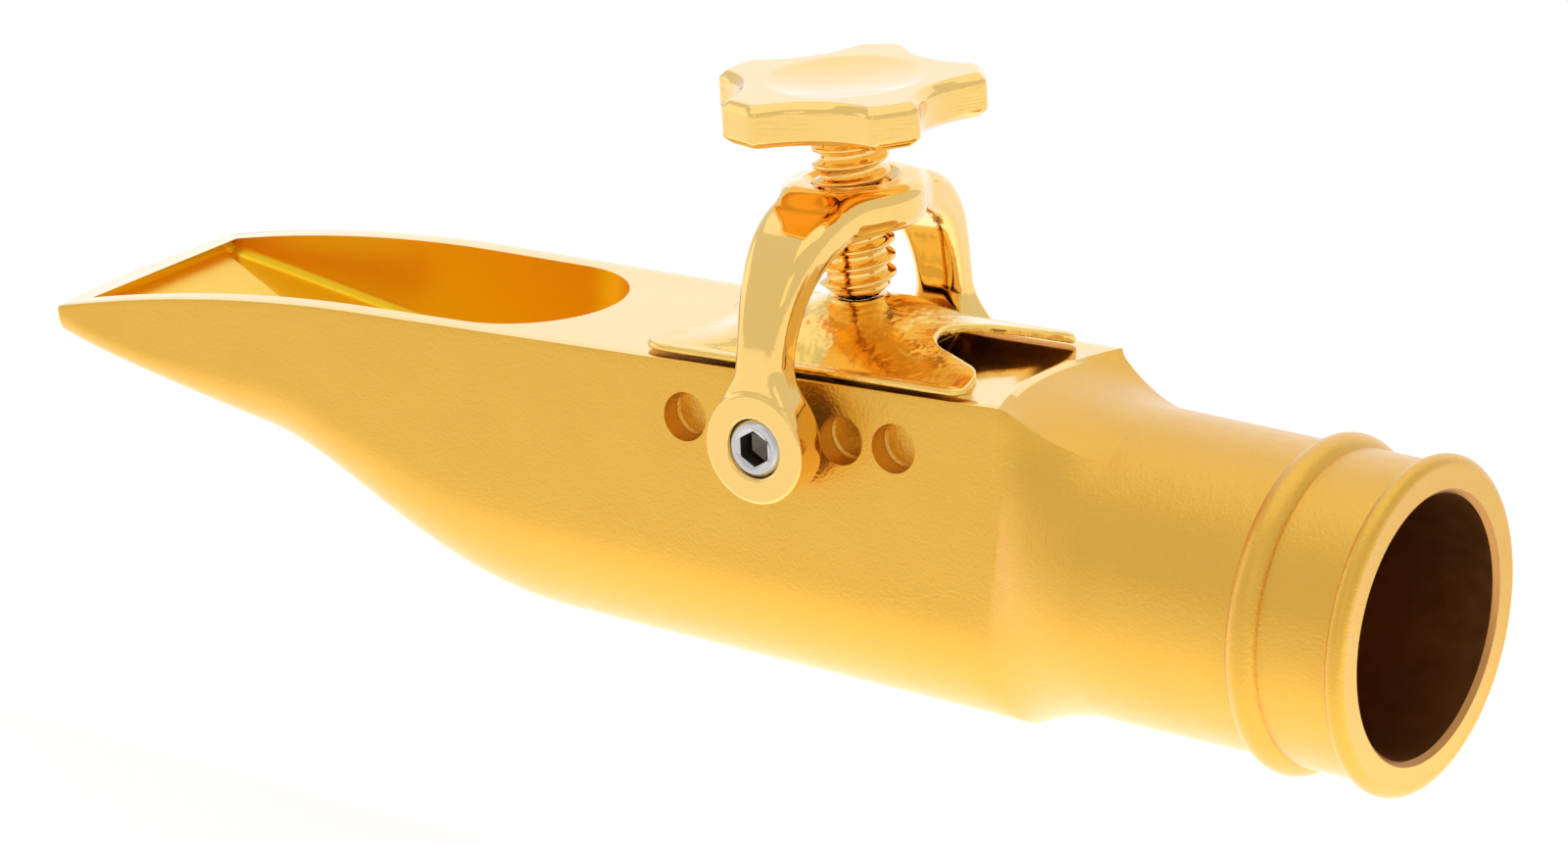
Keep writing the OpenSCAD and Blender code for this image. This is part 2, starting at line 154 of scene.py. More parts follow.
# ---------------------------------------------------------------- thumb knob
knob_lobes = 5
knob_r = 8.4
lobe_width = 3.2
hollow_r = 6.5
knob_thickness = 2.7
knob_bevel = 0.45
knob_base = 17.55
dish_r = 4.9
dish_depth = 0.45

# ---------------------------------------------------------------- pressure plate
plate_gap = 0.22
plate_thickness = 0.42
plate_half_width = 7.0
plate_front = 11.4
plate_rear = 12.0
# narrowing of the plate's half width from its front to the ends of the legs
leg_taper = 0.3
front_hollow = 1.6
front_cut_r = 4.2
notch_r = 2.9
notch_mouth_r = 5.2
notch_floor = 6.5
hub_height = 3.08
hub_r = 1.8
# the arched top: fall of its ridge for each mm from the hub, height over the legs, and its curve across
ridge_fall = 0.36
leg_ridge = 1.7
arch_half = 6.2
cross_power = 2.1
# the hollow beneath the rear of the arch: the metal above it, its half width, and its start behind the pivots
shell = 0.5
hollow_half = 5.8
hollow_front = 3.6
lip_r = 1.22
socket_depth = 1.2
seat_floor = 0.35
seat_clearance = 0.05

# ---------------------------------------------------------------- places worked out from the sizes
tan_t, cos_t, sin_t = math.tan(table_tilt), math.cos(table_tilt), math.sin(table_tilt)
pivot_z = table_ref - pivot_depth * cos_t - pivot_depth * sin_t * tan_t
plate_base = pivot_depth + plate_gap
hub_top = plate_base + hub_height
nose_centre = plate_base + seat_floor + seat_clearance + nose_r
seat_x = screw_offset - nose_centre * math.sin(screw_lean)
end_z = hub_top + end_gap
facing_r = (facing_length ** 2 + tip_opening ** 2) / (2 * tip_opening)
facing_start = body_length - facing_length
arm_foot_y = ear_face - arm_thickness / 2
crown_mid = crown_top - crown_thickness / 2
knob_top = knob_base + knob_thickness
# slope factor of a bevel at 45 degrees, and a field value far inside any piece
BEVEL = 0.7071
FAR_INSIDE = -9


def table_z(x):
    return table_ref + (pivot_x - x) * tan_t


def from_pivot(p):
    """Points of the ligature's frame, as an array of shape (n, 3), in the row frame."""
    p = np.asarray(p, float)
    x = -pivot_x + p[:, 0] * cos_t - p[:, 2] * sin_t
    z = pivot_z + p[:, 0] * sin_t + p[:, 2] * cos_t
    return np.stack([x, p[:, 1], z], 1)


def from_screw(p):
    """Points of the clamp screw's frame, which leans towards the tip, in the row frame."""
    p = np.asarray(p, float)
    c, s = math.cos(screw_lean), math.sin(screw_lean)
    x = screw_offset + p[:, 0] * c - p[:, 2] * s
    z = p[:, 0] * s + p[:, 2] * c
    return from_pivot(np.stack([x, p[:, 1], z], 1))


def from_axis(p):
    """Distance from the pivot axis, and from the middle plane, of a point in the row frame."""
    return math.hypot(p[0] + pivot_x, p[2] - pivot_z), abs(p[1])


def ease(t):
    u = np.clip(t, 0.0, 1.0)
    return u * u * (3 - 2 * u)


def lerp(a, b, t):
    return a + (b - a) * t


# ---------------------------------------------------------------- mesh helpers
def add_mesh(name, points, faces, material, sharp_deg=35.0):
    mesh = bpy.data.meshes.new(name)
    corners = [tuple(p) for p in np.asarray(points, float) * MM]
    mesh.from_pydata(corners, [], [tuple(int(i) for i in f) for f in faces])
    obj = bpy.data.objects.new(name, mesh)
    bpy.context.scene.collection.objects.link(obj)
    mesh.materials.append(material)
    tidy_mesh(obj, sharp_deg)
    return obj


def tidy_mesh(obj, sharp_deg, weld=1e-7):
    """Welds double points, turns all faces outwards and marks the sharp edges."""
    bm = bmesh.new()
    bm.from_mesh(obj.data)
    bmesh.ops.remove_doubles(bm, verts=bm.verts, dist=weld)
    bmesh.ops.recalc_face_normals(bm, faces=bm.faces)
    limit = math.radians(sharp_deg)
    for e in bm.edges:
        e.smooth = not (len(e.link_faces) == 2 and e.calc_face_angle(0.0) > limit)
    for f in bm.faces:
        f.smooth = True
    bm.to_mesh(obj.data)
    bm.free()
    obj.data.update()


def paint(obj, material, chosen):
    """Gives one more material to the faces that chosen picks."""
    obj.data.materials.append(material)
    last = len(obj.data.materials) - 1
    for face in obj.data.polygons:
        if chosen(face):
            face.material_index = last


def ring_faces(rings, n):
    """Faces of a closed skin over rings of n points, with a cap at each end."""
    faces = []
    for i in range(rings - 1):
        for j in range(n):
            a, b = i * n + j, i * n + (j + 1) % n
            faces.append((a, b, b + n, a + n))
    faces.append(tuple(reversed(range(n))))
    faces.append(tuple(range((rings - 1) * n, rings * n)))
    return faces


def turns(n):
    return np.linspace(0, 2 * math.pi, n, endpoint=False)


def revolve_points(profile, n, axis="x"):
    """Rings of a profile of (radius, distance along the axis)."""
    a = turns(n)
    rings = []
    for r, d in profile:
        if axis == "x":
            rings.append(np.stack([np.full(n, -d), r * np.cos(a), r * np.sin(a)], 1))
        else:
            rings.append(np.stack([r * np.cos(a), r * np.sin(a), np.full(n, d)], 1))
    return np.concatenate(rings)


def cut(obj, tools, operation="DIFFERENCE"):
    """Cuts the tools out of the piece, or joins them to it, and deletes them."""
    for tool in tools:
        mod = obj.modifiers.new("cut", "BOOLEAN")
        mod.operation = operation
        mod.solver = "EXACT"
        mod.material_mode = "TRANSFER"
        mod.object = tool
    depsgraph = bpy.context.evaluated_depsgraph_get()
    new = bpy.data.meshes.new_from_object(obj.evaluated_get(depsgraph))
    obj.modifiers.clear()
    old = obj.data
    obj.data = new
    bpy.data.meshes.remove(old)
    for tool in tools:
        bpy.data.objects.remove(tool)


# ---------------------------------------------------------------- fields
# A piece with blended forms is a field, negative inside, drawn as the surface where it is zero.
CORNERS = [(i, j, k) for i in (0, 1) for j in (0, 1) for k in (0, 1)]
EDGES = [(a, b) for a in CORNERS for b in CORNERS if a < b and np.abs(np.subtract(a, b)).sum() == 1]


def smooth_min(a, b, k):
    h = np.clip(0.5 + 0.5 * (b - a) / k, 0, 1)
    return b + (a - b) * h - k * h * (1 - h)


def smooth_max(a, b, k):
    return -smooth_min(-a, -b, k)


def rounded(u, v, r):
    """Meet of two signed distances with an edge of radius r."""
    du, dv = u + r, v + r
    return np.hypot(np.maximum(du, 0), np.maximum(dv, 0)) + np.minimum(np.maximum(du, dv), 0) - r


def disc(rad, height, r, half, edge):
    """A disc of radius r and half thickness half, with its edges rounded."""
    return rounded(rad - r, np.abs(height) - half, edge)


def crossed_cells(value):
    """The cells of the grid that the surface crosses, and the mean of the crossings in each, in cells."""
    nx, ny, nz = np.array(value.shape) - 1
    inside = value < 0
    count = np.zeros((nx, ny, nz), np.int8)
    for i, j, k in CORNERS:
        count += inside[i:nx + i, j:ny + j, k:nz + k]
    cells = np.argwhere((count > 0) & (count < 8))
    total = np.zeros((len(cells), 3))
    weight = np.zeros(len(cells))
    for a, b in EDGES:
        va = value[tuple((cells + a).T)]
        vb = value[tuple((cells + b).T)]
        crossed = (va < 0) != (vb < 0)
        t = np.where(crossed, va / np.where(crossed, va - vb, 1), 0)
        p = np.array(a) + t[:, None] * (np.array(b) - np.array(a))
        total += np.where(crossed[:, None], p, 0)
        weight += crossed
    return cells, cells + total / weight[:, None]


def crossed_quads(value, cells):
    """One quad round each grid edge that the surface crosses, through the four cells beside it."""
    size = np.array(value.shape)
    inside = value < 0
    index = np.full(tuple(size - 1), -1, np.int64)
    index[tuple(cells.T)] = np.arange(len(cells))
    quads = []
    for axis, (first, second) in enumerate([(1, 2), (2, 0), (0, 1)]):
        here = [slice(None)] * 3
        there = [slice(None)] * 3
        here[axis] = slice(0, -1)
        there[axis] = slice(1, None)
        a, b = inside[tuple(here)], inside[tuple(there)]
        d1, d2 = np.eye(3, dtype=int)[[first, second]]
        for flip in (False, True):
            edge = np.argwhere((~a & b) if flip else (a & ~b))
            ok = (edge[:, first] > 0) & (edge[:, second] > 0)
            ok &= (edge[:, first] < size[first] - 1) & (edge[:, second] < size[second] - 1)
            edge = edge[ok]
            quad = [index[tuple((edge - s).T)] for s in (d1 * 0, d1, d1 + d2, d2)]
            quads.append(np.stack(quad[::-1] if flip else quad, 1))
    return np.concatenate(quads)


def drawn_onto(points, field, step):
    """The points after four damped steps down the field's slope, each at most half a cell long."""
    h = step * 0.05
    for _ in range(4):
        slope = [field(*(points + h * way).T) - field(*(points - h * way).T) for way in np.eye(3)]
        g = np.stack(slope, 1) / (2 * h)
        steepness = np.maximum((g * g).sum(1), 0.05)
        move = -(field(*points.T) / steepness)[:, None] * g
        far = np.linalg.norm(move, axis=1, keepdims=True)
        points = points + move * np.minimum(1, 0.5 * step / np.maximum(far, 1e-9))
    return points


def field_piece(name, field, low, high, step, material, place=from_pivot, sharp_deg=60.0):
    """A piece from a field, searched in the box from low to high in cells of size step."""
    low, high = np.array(low, float), np.array(high, float)
    size = np.ceil((high - low) / step).astype(int) + 1
    axes = [low[i] + step * np.arange(size[i]) for i in range(3)]
    grid = np.meshgrid(*axes, indexing="ij", sparse=True)
    value = np.broadcast_to(field(*grid), tuple(size)).astype(np.float32)
    cells, middles = crossed_cells(value)
    points = drawn_onto(low + step * middles, field, step)
    return add_mesh(name, place(points), crossed_quads(value, cells), material, sharp_deg)


# ---------------------------------------------------------------- materials
def noise(nodes, links, coords, scale, detail):
    texture = nodes.new("ShaderNodeTexNoise")
    texture.inputs["Scale"].default_value = scale
    texture.inputs["Detail"].default_value = detail
    links.new(coords, texture.inputs["Vector"])
    return texture


def noise_bump(nodes, links, coords, scale, detail, strength, distance, normal):
    """A layer of grain on top of the normal, which is None for the first layer."""
    grain = noise(nodes, links, coords, scale, detail)
    grain.inputs["Roughness"].default_value = 0.55
    bump = nodes.new("ShaderNodeBump")
    bump.inputs["Strength"].default_value = strength
    bump.inputs["Distance"].default_value = distance
    links.new(grain.outputs["Fac"], bump.inputs["Height"])
    if normal is not None:
        links.new(normal, bump.inputs["Normal"])
    return bump.outputs["Normal"]


def vary_roughness(nodes, links, coords, shader, roughness, vary):
    """Lets the roughness drift in patches by the share vary, up and down."""
    patches = noise(nodes, links, coords, 900, 3)
    span = nodes.new("ShaderNodeMapRange")
    span.inputs["From Min"].default_value = 0.3
    span.inputs["From Max"].default_value = 0.7
    span.inputs["To Min"].default_value = roughness * (1 - vary)
    span.inputs["To Max"].default_value = roughness * (1 + vary)
    links.new(patches.outputs["Fac"], span.inputs["Value"])
    links.new(span.outputs["Result"], shader.inputs["Roughness"])


def vary_colour(nodes, links, coords, shader, color, tint):
    """Lets the colour drift in patches between color and tint."""
    mix = nodes.new("ShaderNodeMix")
    mix.data_type = "RGBA"
    mix.inputs["A"].default_value = (*color, 1)
    mix.inputs["B"].default_value = (*tint, 1)
    patches = noise(nodes, links, coords, 260, 4)
    links.new(patches.outputs["Fac"], mix.inputs["Factor"])
    links.new(mix.outputs["Result"], shader.inputs["Base Color"])


def metal(name, color, roughness, grain, vary=0.0, tint=None, lacquer=1.0, brushed=1.0):
    """A metal under a coat of lacquer. Each layer of grain is (scale, detail, strength, distance).
    The grain is finer upwards by the factor brushed, which draws it out into level lines."""
    material = bpy.data.materials.new(name)
    material.use_nodes = True
    nodes, links = material.node_tree.nodes, material.node_tree.links
    shader = nodes["Principled BSDF"]
    shader.inputs["Metallic"].default_value = 1.0
    shader.inputs["Base Color"].default_value = (*color, 1)
    shader.inputs["Roughness"].default_value = roughness
    shader.inputs["Coat Weight"].default_value = lacquer
    shader.inputs["Coat IOR"].default_value = 1.8
    shader.inputs["Coat Roughness"].default_value = roughness
    coords = nodes.new("ShaderNodeTexCoord").outputs["Object"]
    lines = nodes.new("ShaderNodeMapping")
    lines.inputs["Scale"].default_value = (1, 1, brushed)
    links.new(coords, lines.inputs["Vector"])
    normal = None
    for layer in grain:
        normal = noise_bump(nodes, links, lines.outputs["Vector"], *layer, normal)
    links.new(normal, shader.inputs["Normal"])
    if vary:
        vary_roughness(nodes, links, coords, shader, roughness, vary)
    if tint:
        vary_colour(nodes, links, coords, shader, color, tint)
    return material


satin_gold = metal(
    "satin_gold_plate", (0.78, 0.41, 0.012), 0.33, [(5000, 2.0, 0.6, 0.00008), (2200, 2.0, 0.25, 0.00008)],
    vary=0.12, tint=(0.82, 0.445, 0.02), lacquer=0.7)
lapped_gold = metal(
    "lapped_gold_plate", (0.95, 0.62, 0.14), 0.09, [(900, 3.0, 0.12, 0.00003)],
    vary=0.25, tint=(0.96, 0.65, 0.17), lacquer=0.9)
polished_gold = metal(
    "polished_gold_plate", (0.95, 0.585, 0.11), 0.07, [(700, 2.0, 0.10, 0.00003)],
    vary=0.3, tint=(0.96, 0.62, 0.14))
buffed_gold = metal(
    "buffed_gold_plate", (0.95, 0.59, 0.09), 0.15, [(650, 2.0, 0.9, 0.00016), (2500, 2.0, 0.15, 0.00003)],
    vary=0.3, tint=(0.96, 0.63, 0.12), lacquer=0.9)
brushed_gold = metal(
    "brushed_gold_plate", (0.95, 0.585, 0.11), 0.13, [(420, 3.0, 0.6, 0.00005)],
    vary=0.3, tint=(0.96, 0.62, 0.14), brushed=14.0)
chamber_gold = metal(
    "chamber_gold_plate", (0.96, 0.58, 0.02), 0.30, [(2600, 2.0, 0.15, 0.00003)],
    vary=0.08, tint=(0.97, 0.60, 0.025), lacquer=0.0)
# painted shade: the bore and throat get a darker, browner gold than the body, for the shade deep inside them
painted_shade_bore = metal(
    "painted_shade_bore_gold", (0.50, 0.24, 0.07), 0.38, [(1800, 2.0, 0.15, 0.00003)],
    vary=0.08, tint=(0.53, 0.26, 0.08), lacquer=0.0)
bright_steel = metal(
    "bright_steel", (0.60, 0.59, 0.58), 0.22, [(1500, 2.0, 0.2, 0.00003)], vary=0.3, lacquer=0.0)
# painted shade: a near-black steel for the shade inside the hexagon sockets
painted_shade_socket = metal(
    "painted_shade_socket", (0.16, 0.14, 0.11), 0.35, [(1500, 2.0, 0.2, 0.00003)], lacquer=0.0)


# ---------------------------------------------------------------- mouthpiece body: block and beak
TOP_STEPS, SIDE_STEPS, CORNER_STEPS = 10, 12, 16


def half_width(x, z):
    return table_half_width + side_flare * (x - table_rear) + side_draft * (table_z(x) - z)


def belly_z(x):
    tip_under = table_z(body_length) - tip_opening - tip_thickness
    beak = tip_under - beak_slope * (body_length - x)
    belly = -belly_depth + belly_rise * (x - table_rear) / (knee_x - table_rear)
    return lerp(belly, beak, ease((x - knee_x) / knee_blend))


def corner_r(x):
    return lerp(belly_corner_r, beak_corner_r, ease((x - knee_x) / (body_length - knee_x)))


def top_z(x):
    """Height of the table, or of the curved facing towards the tip."""
    past = np.maximum(x - facing_start, 0) / cos_t
    return table_z(x) - (facing_r - np.sqrt(facing_r ** 2 - past ** 2))


def half_section(x):
    """Half of the section at x, from the middle of the top round to the middle of the belly."""
    top = float(top_z(x))
    r = float(corner_r(x))
    low = float(belly_z(x)) + r
    w, w_top = half_width(x, low), half_width(x, top)
    edge = top_edge_r
    top_turn = np.linspace(0, math.pi / 2, 4)
    low_turn = np.linspace(0, math.pi / 2, CORNER_STEPS + 1)
    pts = [(-(w_top - edge) * i / TOP_STEPS, top) for i in range(TOP_STEPS)]
    pts += [(-w_top + edge - edge * math.sin(a), top - edge + edge * math.cos(a)) for a in top_turn]
    pts += [(lerp(-w_top, -w, t), lerp(top - edge, low, t)) for t in np.linspace(0, 1, SIDE_STEPS + 1)[1:-1]]
    pts += [(-w + r - r * math.cos(a), low - r * math.sin(a)) for a in low_turn]
    pts += [(-lerp(w - r, 0, t), low - r) for t in np.linspace(0, 1, 4)[1:]]
    return pts


def section(x):
    half = half_section(x)
    return half + [(-y, z) for y, z in half[-2:0:-1]]


def section_height(px, z, x):
    """Height at px of a point of the section at x: it keeps its share between belly and facing."""
    top, low = float(top_z(x)), float(belly_z(x))
    t = (z - low) / (top - low)
    return lerp(float(belly_z(px)), float(top_z(px)), t)


def bow_radius(half_chord):
    """Radius of the tip's bow in plan, over a chord of this half length."""
    return (half_chord ** 2 + tip_bow ** 2) / (2 * tip_bow)


def bow(y, half_chord):
    """Distance that the bow falls back from the tip at y."""
    r = bow_radius(half_chord)
    return r - math.sqrt(r ** 2 - min(abs(y), half_chord) ** 2)


def block_ring(x):
    """One ring of the block or beak, bowed in plan near the tip."""
    tip_half = half_width(body_length, table_z(body_length))
    fade = float(ease(1 - (body_length - x) / bow_length))
    ring = []
    for y, z in section(x):
        px = x - bow(y, tip_half) * fade
        ring.append((-px, y, section_height(px, z, x) if fade > 0 else z))
    return ring


def shoulder_ring(base, t):
    """One ring of the shoulder, from the block's rear section at t = 0 to the round waist at t = 1."""
    waist_r = shank_r - band_height
    fall = 1 - (1 - t) ** shoulder_power
    ring = []
    for y, z in base:
        on_table = z > table_z(table_rear) - top_edge_r
        rear = table_rear + (rear_bow * (1 - (y / table_half_width) ** 2) if on_table else 0)
        on_side = float(ease((abs(y) - groove_start_y) / 0.6) * ease((z - groove_start_z) / 3))
        groove = shoulder_groove * on_side * min(1, t * shoulder_steps) * float(1 - ease(t / groove_share))
        d = math.hypot(y, z)
        across = lerp(y, y * waist_r / d, fall) - math.copysign(groove, y)
        ring.append((-lerp(rear, shoulder_end, t), across, lerp(z, z * waist_r / d, fall)))
    return ring


def make_outer():
    """The block, beak and shoulder as one skin, from the tip to the waist."""
    stations = np.concatenate([
        np.linspace(body_length, body_length - 8, 17),
        np.linspace(body_length - 9, knee_x, 48),
        np.linspace(knee_x, table_rear + rear_bow + 0.4, 36)[1:]])
    base = section(table_rear)
    rings = [block_ring(x) for x in stations]
    rings += [shoulder_ring(base, i / shoulder_steps) for i in range(shoulder_steps + 1)]
    return np.concatenate(rings), ring_faces(len(rings), len(base))


# ---------------------------------------------------------------- mouthpiece body: shank
def arc(centre_r, centre_x, r, start, stop):
    """Points of (radius, distance along the axis) on an arc between two angles in degrees."""
    turn = np.radians(np.linspace(start, stop, 24))
    return [(centre_r + r * math.cos(a), centre_x + r * math.sin(a)) for a in turn]


def make_shank():
    """The shank with its rolled rim and second bead, and the raised band between them."""
    band_r = shank_r + band_height
    bead_centre = band_r + bead_height - inner_bead_r
    front = math.sqrt(inner_bead_r ** 2 - (band_r - bead_centre) ** 2)
    rear = math.sqrt(inner_bead_r ** 2 - (shank_r - bead_centre) ** 2)
    start = math.degrees(math.atan2(-front, band_r - bead_centre))
    stop = math.degrees(math.atan2(rear, shank_r - bead_centre))
    end = shoulder_end + 1.5
    profile = [(0.001, 0.02), (band_r - 0.5, 0.02)]
    profile += arc(band_r, rim_bead_r, rim_bead_r, -100, 70)
    profile += [(band_r, 2 * rim_bead_r + 0.05), (band_r, inner_bead_x - front - 0.05)]
    profile += arc(bead_centre, inner_bead_x, inner_bead_r, start, stop)
    profile += [(shank_r, d) for d in np.linspace(inner_bead_x + rear + 0.05, end, 12)]
    profile += [(0.001, end)]
    return revolve_points(profile, 192), ring_faces(len(profile), 192)


# ---------------------------------------------------------------- mouthpiece body: window and bore
def window_half(x):
    return half_width(x, table_z(x)) - rail_width


def baffle_z(x):
    start = table_z(body_length) - tip_opening - baffle_start
    return start - baffle_slope * (body_length - tip_rail - x)


def floor_z(x):
    """Height of the baffle, and of the ramp behind it that falls to the throat."""
    ramp_rear = window_rear - 3
    t = min(max((x - ramp_rear) / (ramp_front - ramp_rear), 0), 1)
    return baffle_z(x) if x > ramp_front else lerp(-throat_r + 0.5, baffle_z(ramp_front), t)


def trough(w):
    """Section of the window tool of half width w: open above, with fillets along its floor."""
    fillet = min(floor_fillet, w * 0.5)
    turn = np.linspace(0, math.pi / 2, 7)
    side = [(-w + fillet - fillet * math.cos(a), fillet - fillet * math.sin(a)) for a in turn]
    level = [(lerp(-w + fillet, w - fillet, t), 0.0) for t in np.linspace(0, 1, 9)[1:-1]]
    return [(-w, window_top)] + side + level + [(-y, z) for y, z in reversed(side)] + [(w, window_top)]


def make_window():
    """The window and chamber as one tool: rings along X, round in plan at the rear, bowed at the tip."""
    rear = window_half(window_rear + 7)
    round_end = window_rear + rear
    front_x = body_length - tip_bow - tip_rail
    front = window_half(front_x)
    end_x = front_x + tip_bow
    stations = np.concatenate([
        round_end - rear * np.cos(np.linspace(0.03, math.pi / 2, 24)),
        np.linspace(round_end, end_x, 64)[1:]])
    rings = []
    for x in stations:
        if x < round_end:
            w = math.sqrt(rear ** 2 - (round_end - x) ** 2)
        else:
            w = lerp(rear, front, (x - window_rear - rear) / (end_x - window_rear - rear))
        fade = float(ease(1 - (end_x - x) / window_bow_length))
        ring = []
        for y, z in trough(w):
            px = x - fade * bow(y, front)
            ring.append((-px, y, z if z == window_top else z + floor_z(px)))
        rings.append(ring)
    return np.concatenate(rings), ring_faces(len(rings), len(rings[0]))


def make_wedge():
    """The wedge that stands on the baffle: full width at the tip, a point at its rear end."""
    low_x, apex = body_length + 1, body_length - wedge_length
    base = window_half(body_length) + 1
    top = baffle_z(body_length)
    plan = [(low_x, base), (low_x, -base), (apex, 0)]
    pts = [(-x, y, -15.0) for x, y in plan] + [(-x, y, top - (0.1 if x == apex else 0)) for x, y in plan]
    return pts, [(0, 1, 2), (5, 4, 3), (0, 3, 4, 1), (1, 4, 5, 2), (2, 5, 3, 0)]


def make_bore():
    """The neck bore with its chamfer, then the throat that opens into the chamber."""
    mouth_r = bore_r + mouth_chamfer
    throat_end = window_rear + 4
    profile = [(0.001, -1.0), (mouth_r, -1.0), (mouth_r, 0.0), (bore_r + 0.2, 0.08), (bore_r, mouth_chamfer)]
    profile += [(bore_r, d) for d in np.linspace(1, bore_depth - 0.3, 10)]
    profile += [(bore_r - 0.3, bore_depth), (throat_r + 0.2, bore_depth), (throat_r, bore_depth + 0.2)]
    profile += [(throat_r, d) for d in np.linspace(bore_depth + 1, throat_end, 12)]
    profile += [(0.001, throat_end)]
    return revolve_points(profile, 160), ring_faces(len(profile), 160)


def side_face(x):
    """Distance of the block's side from the middle plane, at x in the ligature's frame."""
    d = pivot_x - x * cos_t
    return half_width(d, table_z(d) - pivot_depth)


def make_hole(side, i):
    """One of the five pivot holes in a side; the middle one holds the set screw's nose."""
    x = (i - 2) * pivot_pitch
    back = side_face(x) - pivot_hole_depth
    bottom_r = pivot_hole_r - hole_bevel
    profile = [(0.001, back), (bottom_r, back), (pivot_hole_r, back + hole_bevel), (pivot_hole_r, back + 4)]
    a = turns(48)
    rings = [np.stack([x + r * np.cos(a), np.full(48, side * d), r * np.sin(a)], 1) for r, d in profile]
    return from_pivot(np.concatenate(rings)), ring_faces(len(profile), 48)


def on_table(face):
    """Whether a face of the body belongs to the table or the facing, which are lapped."""
    x, z = -face.center.x / MM, face.center.z / MM
    return face.normal.z > 0.9 and table_rear - 0.2 < x < body_length and abs(z - float(top_z(x))) < 0.05


def make_body():
    body = add_mesh("body_shell", *make_outer(), satin_gold)
    cut(body, [add_mesh("shank_tool", *make_shank(), satin_gold)], "UNION")
    window = add_mesh("window_tool", *make_window(), chamber_gold)
    cut(window, [add_mesh("wedge_tool", *make_wedge(), chamber_gold)])
    # the bore tool carries the painted shade of the bore onto the body
    tools = [add_mesh("bore_tool", *make_bore(), painted_shade_bore), window]
    for side in (-1, 1):
        for i in range(5):
            tools.append(add_mesh(f"hole_tool_{side}_{i}", *make_hole(side, i), satin_gold))
    cut(body, tools)
    tidy_mesh(body, 28.0, 1e-6)
    paint(body, lapped_gold, on_table)
    return body


# ---------------------------------------------------------------- yoke
def arch_curve():
    """The middle line of half the arch: points (distance from the middle plane, height)."""
    a = np.radians(np.linspace(0, 90, 400))
    z = crown_mid * np.sin(a) ** (2 / arch_power)
    y = (arm_foot_y - arch_shrink * (z / crown_mid) ** 2) * np.cos(a) ** (2 / arch_power)
    return np.stack([y, z], 1)


def arch_half_width(z):
    """Half width of the arch along X: that of an arm low down, widening to the crown."""
    share = np.clip((z - arm_top) / (crown_mid - arm_top), 0, 1)
    return arm_half_width + (crown_half_width - arm_half_width) * share ** 2


def along_arch(y, z):
    """Distance of points outside the arch's middle line, and the height of the nearest point on it."""
    line = arch_curve()
    run = np.stack([np.gradient(line[:, 0]), np.gradient(line[:, 1])], 1)
    run /= np.linalg.norm(run, axis=1, keepdims=True)
    y, z = np.broadcast_arrays(np.abs(y), z)
    points = np.stack([y.ravel(), z.ravel()], 1)
    outside, height = np.empty(len(points)), np.empty(len(points))
    # in batches, to keep the table of distances small
    for first in range(0, len(points), 20000):
        batch = slice(first, first + 20000)
        across, up = points[batch, :1] - line[:, 0], points[batch, 1:] - line[:, 1]
        nearest = (across ** 2 + up ** 2).argmin(1)
        offset = points[batch] - line[nearest]
        outside[batch] = offset[:, 0] * run[nearest, 1] - offset[:, 1] * run[nearest, 0]
        height[batch] = line[nearest, 1]
    return outside.reshape(y.shape), height.reshape(y.shape)


def yoke_field(x, y, z):
    """The arch, its two ears and the boss in the crown, in the clamp screw's frame."""
    n, h = along_arch(y, z)
    ear_x, ear_z = -screw_offset * math.cos(screw_lean), screw_offset * math.sin(screw_lean)
    rad = np.hypot(x - ear_x, z - ear_z)
    axis_rad = np.hypot(x, y)
    # the arms: each leans from its ear to the boss, and steps in where it meets the ear
    thick = lerp(arm_thickness, crown_thickness, h / crown_mid) / 2
    middle = -screw_offset * (1 - ease(h / crown_mid))
    side = np.maximum(np.abs(x - middle) - arch_half_width(h), -z)
    plan = smooth_min(side, rad - ear_r + 0.12, 2.2)
    step = foot_step * (1 - ease((h - 6) / 4))
    edge = lerp(0.4, 1.05, ease((h - 1.5) / 3.5))
    arms = rounded(plan, np.maximum(n - thick + step, -thick - n), edge)
    ear = disc(rad, np.abs(y) - (ear_face - ear_thickness / 2), ear_r, ear_thickness / 2, ear_round)
    boss = disc(axis_rad, z - crown_mid, boss_r, crown_thickness / 2, boss_round)
    solid = smooth_min(smooth_min(arms, boss, 1.0), ear, 0.12)
    # the threaded hole with its countersink, and the two holes for the set screws
    hole = screw_r + thread_clearance - axis_rad
    sink = (screw_r + 0.35 - axis_rad - (crown_top - z)) * BEVEL
    pin = set_screw_r - rad
    pin_edge = (set_screw_r + 0.12 - rad - (ear_face - np.abs(y))) * BEVEL
    solid = np.maximum(solid, np.where(z > arm_top, np.maximum(hole, sink), FAR_INSIDE))
    return np.maximum(solid, np.where(z < arm_top, np.maximum(pin, pin_edge), FAR_INSIDE))


def make_yoke():
    low, high = (-4.9, -11.8, -3.9), (4.9, 11.8, 14.4)
    return field_piece("yoke_casting", yoke_field, low, high, 0.11, polished_gold, from_screw)


# ---------------------------------------------------------------- thumb knob
def knob_outline(x, y):
    """Distance outside the knob's outline: flat lobe ends with hollows between them."""
    step = 2 * math.pi / knob_lobes
    angle = (np.arctan2(y, x) - math.pi + step / 2) % step - step / 2
    rad = np.hypot(x, y)
    u, v = rad * np.cos(angle), np.abs(rad * np.sin(angle))
    c, s = math.cos(step / 2), math.sin(step / 2)
    along, across = u * c + v * s, np.abs(-u * s + v * c)
    # the hollow is an arc through the corners of two lobes and the bottom between them
    corner = math.hypot(knob_r, lobe_width / 2)
    gap = step / 2 - math.atan2(lobe_width / 2, knob_r)
    sag = corner * math.cos(gap) - hollow_r
    arc_r = ((corner * math.sin(gap)) ** 2 + sag ** 2) / (2 * sag)
    hollow = arc_r - np.hypot(along - (hollow_r + arc_r), across)
    return smooth_max(u - knob_r, hollow, 0.5)


